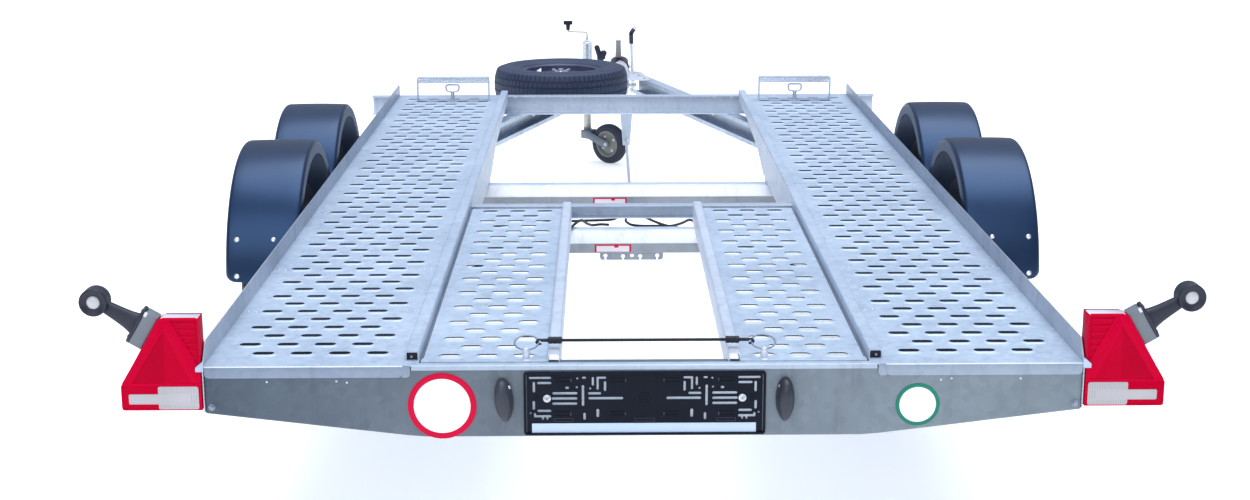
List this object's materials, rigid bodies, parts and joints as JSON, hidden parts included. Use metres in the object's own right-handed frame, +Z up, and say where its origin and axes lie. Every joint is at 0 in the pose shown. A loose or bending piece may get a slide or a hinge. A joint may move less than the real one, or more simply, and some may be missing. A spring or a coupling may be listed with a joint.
{
  "type": "car trailer",
  "caption": "Galvanised flat-deck tandem-axle car trailer with perforated tracks, stowed loading ramps, spare wheel, jockey wheel and overrun coupling.",
  "frame": {"origin": "centre of the whole trailer's footprint, on the ground", "axes": "+X to the right-hand side looking forwards, +Y towards the coupling, +Z up"},
  "size_m": [2.467, 5.91, 0.713],
  "materials": {
    "galvanised": "hot-dip galvanised, satin with faint spangle",
    "cast_steel": "dull grey",
    "black_rubber": "matt",
    "black_coat": "satin black coating",
    "zinc": "bright zinc plated",
    "black_plastic": "smooth black plastic with a soft sheen",
    "red_lens": "clear-coated red lens",
    "tyre": "black tyre rubber",
    "rim": "silver paint",
    "drum": "dark drum"
  },
  "bodies": {
    "chassis": {"side_rail_left": "galvanised", "side_rail_right": "galvanised", "inner_rail_left": "galvanised", "inner_rail_right": "galvanised", "track_floor_left": "galvanised", "track_floor_right": "galvanised", "floor_joists": "galvanised", "rear_beam": "galvanised", "front_beam": "galvanised", "middle_beam": "galvanised", "drawbar_left": "galvanised", "drawbar_right": "galvanised", "drawbar_brackets": "galvanised", "rear_axle": "galvanised", "front_axle": "galvanised", "mudguard_brackets": "galvanised", "wheel_stops": "galvanised", "spare_carrier": "galvanised", "overrun_housing": "cast_steel", "torsion_arms": "cast_steel", "overrun_gaiter": "black_rubber", "buffers": "black_rubber", "marker_lamps": "black_rubber", "brake_cables": "black_rubber", "coupling_head": "black_coat", "coupling_handle": "zinc", "jockey_tube": "zinc", "jockey_crank": "zinc", "brake_rod": "zinc", "mudguard_rear_left": "black_plastic", "mudguard_rear_right": "black_plastic", "mudguard_front_left": "black_plastic", "mudguard_front_right": "black_plastic", "plate_holder": "black_plastic", "jockey_clamp_handle": "black_plastic", "tail_lamps": "red_lens", "spare_tyre": "tyre", "spare_rim": "rim"},
    "wheel_rear_left": {"tyre_rear_left": "tyre", "rim_rear_left": "rim", "hub_rear_left": "drum"},
    "wheel_rear_right": {"tyre_rear_right": "tyre", "rim_rear_right": "rim", "hub_rear_right": "drum"},
    "wheel_front_left": {"tyre_front_left": "tyre", "rim_front_left": "rim", "hub_front_left": "drum"},
    "wheel_front_right": {"tyre_front_right": "tyre", "rim_front_right": "rim", "hub_front_right": "drum"},
    "jockey_leg": {"jockey_leg": "zinc"},
    "jockey_fork": {"jockey_fork": "zinc"},
    "jockey_wheel": {"jockey_rim": "zinc", "jockey_tyre": "tyre"},
    "handbrake": {"handbrake_lever": "zinc"},
    "ramps": {"ramp_left": "galvanised", "ramp_right": "galvanised", "lock_pins": "zinc", "lock_cord": "black_rubber"}
  },
  "joints": [
    {"name": "wheel_rear_left_spin", "type": "hinge", "parent": "chassis", "child": "wheel_rear_left", "pos_m": [-1.103, -1.162, 0.3], "axis": [1, 0, 0], "continuous": true},
    {"name": "wheel_rear_right_spin", "type": "hinge", "parent": "chassis", "child": "wheel_rear_right", "pos_m": [1.103, -1.162, 0.3], "axis": [1, 0, 0], "continuous": true},
    {"name": "wheel_front_left_spin", "type": "hinge", "parent": "chassis", "child": "wheel_front_left", "pos_m": [-1.103, -0.424, 0.3], "axis": [1, 0, 0], "continuous": true},
    {"name": "wheel_front_right_spin", "type": "hinge", "parent": "chassis", "child": "wheel_front_right", "pos_m": [1.103, -0.424, 0.3], "axis": [1, 0, 0], "continuous": true},
    {"name": "jockey_leg_slide", "type": "slide", "parent": "chassis", "child": "jockey_leg", "axis": [0, 0, 1], "range_m": [-0.12, 0.055]},
    {"name": "jockey_swivel", "type": "hinge", "parent": "jockey_leg", "child": "jockey_fork", "pos_m": [-0.167, 2.323, 0.15], "axis": [0, 0, 1], "continuous": true},
    {"name": "jockey_wheel_spin", "type": "hinge", "parent": "jockey_fork", "child": "jockey_wheel", "pos_m": [-0.05668, 2.23681, 0.1], "axis": [-0.6157, -0.788, 0], "continuous": true},
    {"name": "handbrake_pivot", "type": "hinge", "parent": "chassis", "child": "handbrake", "pos_m": [0.0635, 2.418, 0.37], "axis": [1, 0, 0], "range_deg": [-70, 12]},
    {"name": "ramps_lift", "type": "slide", "parent": "chassis", "child": "ramps", "axis": [0, 0, 1], "range_m": [0, 0.3]}
  ]
}
